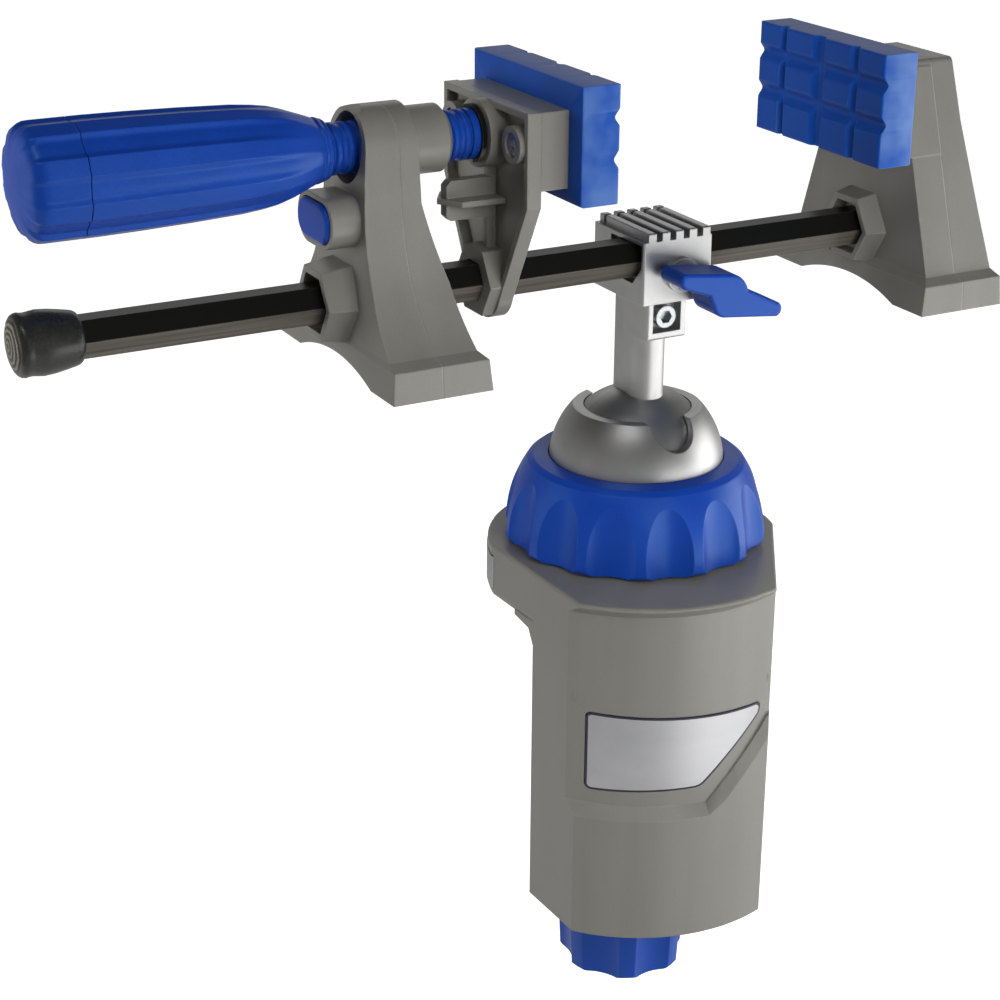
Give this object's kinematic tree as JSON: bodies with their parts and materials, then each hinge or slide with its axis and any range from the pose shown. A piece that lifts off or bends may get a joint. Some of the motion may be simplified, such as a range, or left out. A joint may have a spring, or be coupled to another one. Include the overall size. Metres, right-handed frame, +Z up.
{
  "type": "clamp-on table vise",
  "caption": "Table vise with a C-clamp base, a lockable ball joint and a quick-adjusting screw head with soft-faced jaws on a hexagonal bar.",
  "frame": {"origin": "where the axis of the ball and of the clamp screw meets the top of the table, which is the underside of the rubber pad of the upper clamp jaw", "axes": "+Z up out of the table, +X along the bar towards the fixed jaw, -Y towards the user; the base is turned 15.7 degrees clockwise about Z, as pictured"},
  "size_m": [0.339, 0.1197, 0.3487],
  "materials": {
    "badge_metal": "brushed, bare",
    "bar_black": "blackened, oiled",
    "cap_black": "matt",
    "cast_silver": "satin, lightly blasted",
    "handle_blue": "satin, fine grain",
    "moulded_grey": "fine grain",
    "nut_brass": "machined",
    "pad_blue": "matt urethane",
    "rubber_black": "matt",
    "seat_nylon": "smooth",
    "steel_bright": "machined",
    "steel_dark": "blackened"
  },
  "bodies": {
    "base": {"clamp_body": "moulded_grey", "spine_back_cover": "moulded_grey", "back_cover_screws": "steel_dark", "spine_stiffener": "steel_bright", "upper_jaw_pad": "rubber_black", "badge_plate": "badge_metal", "rim_badge": "badge_metal", "ball_seat": "seat_nylon", "arm_nut": "nut_brass"},
    "pad": {"pad_plate": "cast_silver", "pad_rubber": "rubber_black"},
    "screw": {"clamp_screw": "steel_bright", "clamp_knob": "handle_blue", "knob_pin": "steel_bright"},
    "ring": {"lock_ring": "handle_blue"},
    "cup": {"socket_cup": "cast_silver"},
    "head": {"ball_front": "cast_silver", "ball_back": "cast_silver", "stem_screw": "steel_bright", "stem_nut": "steel_bright", "bar_bracket": "cast_silver", "clamp_shoe": "nut_brass"},
    "lever": {"bracket_lever": "handle_blue", "lever_stud": "steel_bright", "lever_washer": "steel_bright"},
    "bar": {"hex_bar": "bar_black", "bar_end_cap": "cap_black", "fixed_support_outer": "moulded_grey", "fixed_support_inner": "moulded_grey", "fixed_support_screws": "steel_bright", "bar_end_bolt": "steel_dark", "fixed_carrier": "cast_silver", "fixed_carrier_screws": "steel_bright", "fixed_jaw_pad": "pad_blue"},
    "drive": {"drive_support_outer": "moulded_grey", "drive_support_inner": "moulded_grey", "drive_support_screws": "steel_bright", "spindle_nut": "cast_silver", "release_spring": "steel_bright"},
    "lock": {"lock_plate": "steel_bright"},
    "button": {"release_button": "handle_blue"},
    "jaw": {"movable_jaw": "moulded_grey", "movable_carrier": "cast_silver", "movable_jaw_pad": "pad_blue", "jaw_screws": "steel_bright"},
    "handle": {"spindle": "handle_blue", "retaining_clip": "steel_dark", "drive_handle": "handle_blue", "handle_end_cap": "handle_blue", "handle_bolt": "steel_bright"}
  },
  "joints": [
    {"name": "clamp_pad_slide", "type": "slide", "parent": "base", "child": "pad", "axis": [0, 0, 1], "range_m": [-0.0453, 0.0177]},
    {"name": "clamp_screw_turn", "type": "hinge", "parent": "pad", "child": "screw", "pos_m": [0, 0, -0.1], "axis": [0, 0, 1], "range_deg": [-5436, 2124]},
    {"name": "lock_ring_turn", "type": "hinge", "parent": "base", "child": "ring", "pos_m": [0, 0, 0.04], "axis": [0, 0, 1], "range_deg": [0, 120]},
    {"name": "cup_swivel", "type": "hinge", "parent": "base", "child": "cup", "pos_m": [0, 0, 0.05], "axis": [0, 0, 1], "continuous": true},
    {"name": "ball_tilt", "type": "hinge", "parent": "cup", "child": "head", "pos_m": [0, 0, 0.05], "axis": [1, 0, 0], "range_deg": [-40, 40]},
    {"name": "bracket_lever_turn", "type": "hinge", "parent": "head", "child": "lever", "pos_m": [0.001, -0.011, 0.1242], "axis": [0, 1, 0], "range_deg": [-30, 120]},
    {"name": "bar_slide", "type": "slide", "parent": "head", "child": "bar", "axis": [1, 0, 0], "range_m": [-0.044, 0]},
    {"name": "drive_support_slide", "type": "slide", "parent": "bar", "child": "drive", "axis": [1, 0, 0], "range_m": [-0.076, 0.04]},
    {"name": "release_button_press", "type": "slide", "parent": "drive", "child": "button", "axis": [1, 0, 0], "range_m": [0, 0.003], "stiffness_N_per_m": 600, "springref_m": -0.002, "deforming": ["release_spring"]},
    {"name": "lock_plate_tilt", "type": "hinge", "parent": "drive", "child": "lock", "pos_m": [-0.1057, -0.011, 0.1177], "axis": [0, 1, 0], "range_deg": [0, 4.8]},
    {"name": "jaw_slide", "type": "slide", "parent": "drive", "child": "jaw", "axis": [1, 0, 0], "range_m": [-0.01, 0.008]},
    {"name": "spindle_turn", "type": "hinge", "parent": "jaw", "child": "handle", "pos_m": [-0.1, -0.011, 0.1769], "axis": [1, 0, 0], "range_deg": [-900, 720]}
  ],
  "couplings": [
    {"joint": "clamp_pad_slide", "follows": "clamp_screw_turn", "m_per_rad": 0.00047746},
    {"joint": "jaw_slide", "follows": "spindle_turn", "m_per_rad": 0.00063662},
    {"joint": "lock_plate_tilt", "follows": "release_button_press", "rad_per_m": 27.35}
  ]
}
